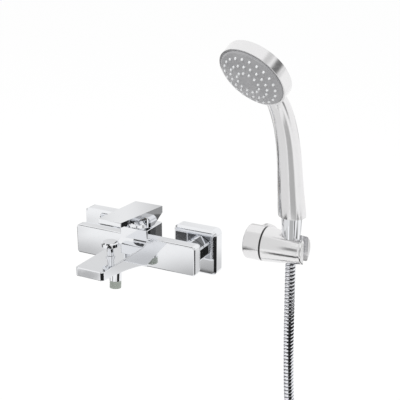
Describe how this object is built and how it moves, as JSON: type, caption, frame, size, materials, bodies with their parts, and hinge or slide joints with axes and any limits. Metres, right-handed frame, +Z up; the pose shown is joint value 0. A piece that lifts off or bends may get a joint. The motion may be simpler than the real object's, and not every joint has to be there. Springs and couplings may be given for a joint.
{
  "type": "shower mixer",
  "caption": "Wall-mounted single-lever bath and shower mixer with square bar body, flat spout, pull-up diverter, and a hand shower with hose on a tilting wall bracket.",
  "frame": {"origin": "on the face of the wall, midway between the two water inlets", "axes": "+X along the wall to the right, +Y into the wall, +Z up"},
  "size_m": [0.3649, 0.19, 0.7163],
  "materials": {
    "chrome": "polished chrome plate",
    "warm_chrome": "polished chrome plate over moulded plastic",
    "brass": "machined",
    "steel": "zinc-plated or stainless",
    "hose_metal": "interlocked metal strip, polished",
    "rubber": "matte",
    "ceramic": "lapped alumina ceramic",
    "cartridge_plastic": "moulded",
    "white_plastic": "moulded",
    "outlet_plastic": "translucent grey-green moulding",
    "face_plastic": "satin dark grey moulding",
    "nozzle_silicone": "soft silicone",
    "black_plastic": "moulded"
  },
  "bodies": {
    "fixed": {"mixer_body": "chrome", "left_union": "brass", "right_union": "brass", "left_union_nut": "chrome", "right_union_nut": "chrome", "left_rosette": "chrome", "right_rosette": "chrome", "union_washers": "rubber", "check_valves": "white_plastic", "shower_nipple": "brass", "outlet_collar": "chrome", "outlet_insert": "outlet_plastic", "cartridge_housing": "cartridge_plastic", "cartridge_base": "cartridge_plastic", "cartridge_seals": "rubber", "fixed_disc": "ceramic", "cartridge_nut": "brass", "dome_cap": "chrome", "diverter_gland": "chrome", "bracket_head": "warm_chrome", "bracket_cap": "warm_chrome", "bracket_base": "white_plastic", "wall_screws": "steel", "wall_plugs": "white_plastic", "axle_bolt": "steel", "axle_nut": "steel", "spring_washer": "steel", "friction_ring": "black_plastic", "hose_tube": "hose_metal", "hose_coil": "hose_metal", "hose_tail": "hose_metal", "hose_end_nut": "chrome", "coil_tie": "black_plastic"},
    "spindle": {"spindle": "cartridge_plastic", "spindle_pin": "steel"},
    "lever": {"lever": "chrome", "lever_stem": "steel", "lever_screw": "steel", "lever_plug": "cartridge_plastic"},
    "disc": {"moving_disc": "ceramic", "disc_carrier": "cartridge_plastic"},
    "diverter": {"diverter_knob": "chrome", "diverter_rod": "brass", "diverter_disc": "rubber"},
    "holder": {"handset_holder": "warm_chrome"},
    "hose_end": {"hose_ferrule": "brass"},
    "handset": {"handset_body": "warm_chrome", "conical_nut": "chrome", "handset_washer": "rubber", "handset_nipple": "white_plastic", "water_tube": "white_plastic", "spray_chamber": "white_plastic", "face_plate": "face_plastic", "spray_nozzles": "nozzle_silicone"}
  },
  "joints": [
    {"name": "lever_turn", "type": "hinge", "parent": "fixed", "child": "spindle", "pos_m": [0, -0.03525, 0.022], "axis": [0, 0, 1], "range_deg": [-45, 45]},
    {"name": "lever_lift", "type": "hinge", "parent": "spindle", "child": "lever", "pos_m": [0, -0.03525, 0.022], "axis": [-1, 0, 0], "range_deg": [0, 25]},
    {"name": "disc_slide", "type": "slide", "parent": "spindle", "child": "disc", "axis": [0, -1, 0], "range_m": [0, 0.0044]},
    {"name": "diverter_pull", "type": "slide", "parent": "fixed", "child": "diverter", "axis": [0, 0, 1], "range_m": [0, 0.008]},
    {"name": "holder_tilt", "type": "hinge", "parent": "fixed", "child": "holder", "pos_m": [0.226, -0.038, 0.033], "axis": [1, 0, 0], "range_deg": [-10, 35], "deforming": ["hose_tube"]},
    {"name": "handset_lift", "type": "slide", "parent": "holder", "child": "hose_end", "axis": [0, 0, 1], "range_m": [0, 0.034]},
    {"name": "handset_turn", "type": "hinge", "parent": "hose_end", "child": "handset", "pos_m": [0.226, -0.038, 0.06], "axis": [0, 0, 1], "range_deg": [-55, 85]}
  ],
  "couplings": [
    {"joint": "disc_slide", "follows": "lever_lift", "m_per_rad": 0.01}
  ]
}
